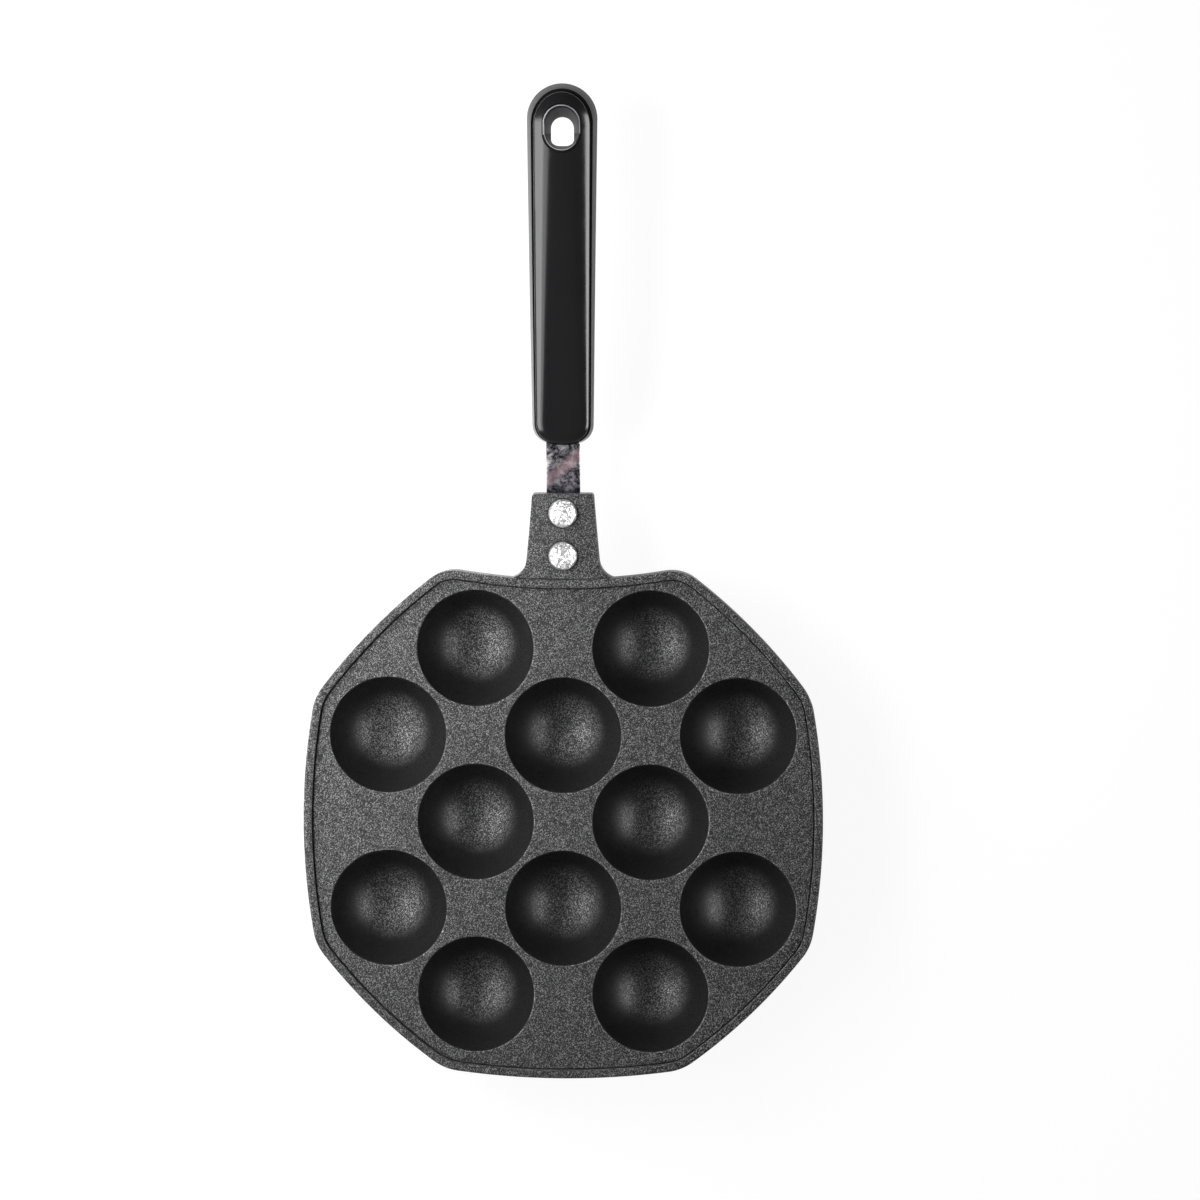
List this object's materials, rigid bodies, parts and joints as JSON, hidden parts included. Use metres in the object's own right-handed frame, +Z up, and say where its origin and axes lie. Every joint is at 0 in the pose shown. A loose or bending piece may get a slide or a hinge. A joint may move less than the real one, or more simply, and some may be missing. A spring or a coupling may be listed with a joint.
{
  "type": "takoyaki pan",
  "caption": "Hand-held cast pan with round cups for takoyaki, a raised rim, and a moulded handle on a riveted steel tang.",
  "frame": {"origin": "middle of the bounding box in plan, on the surface that the pan stands on (the flats under the cups)", "axes": "+Z up, +Y along the handle towards its hanging hole, +X to the right seen from above with the handle pointing away"},
  "size_m": [0.18, 0.345, 0.0333],
  "materials": {
    "coating": "matte speckled dark grey non-stick coating on die-cast aluminium",
    "strip_steel": "polished steel strip",
    "rivet_metal": "polished",
    "moulded_black": "gloss"
  },
  "bodies": {
    "root": {"pan_body": "coating", "tang": "strip_steel", "rivet_front": "rivet_metal", "rivet_rear": "rivet_metal", "handle": "moulded_black"}
  },
  "joints": []
}
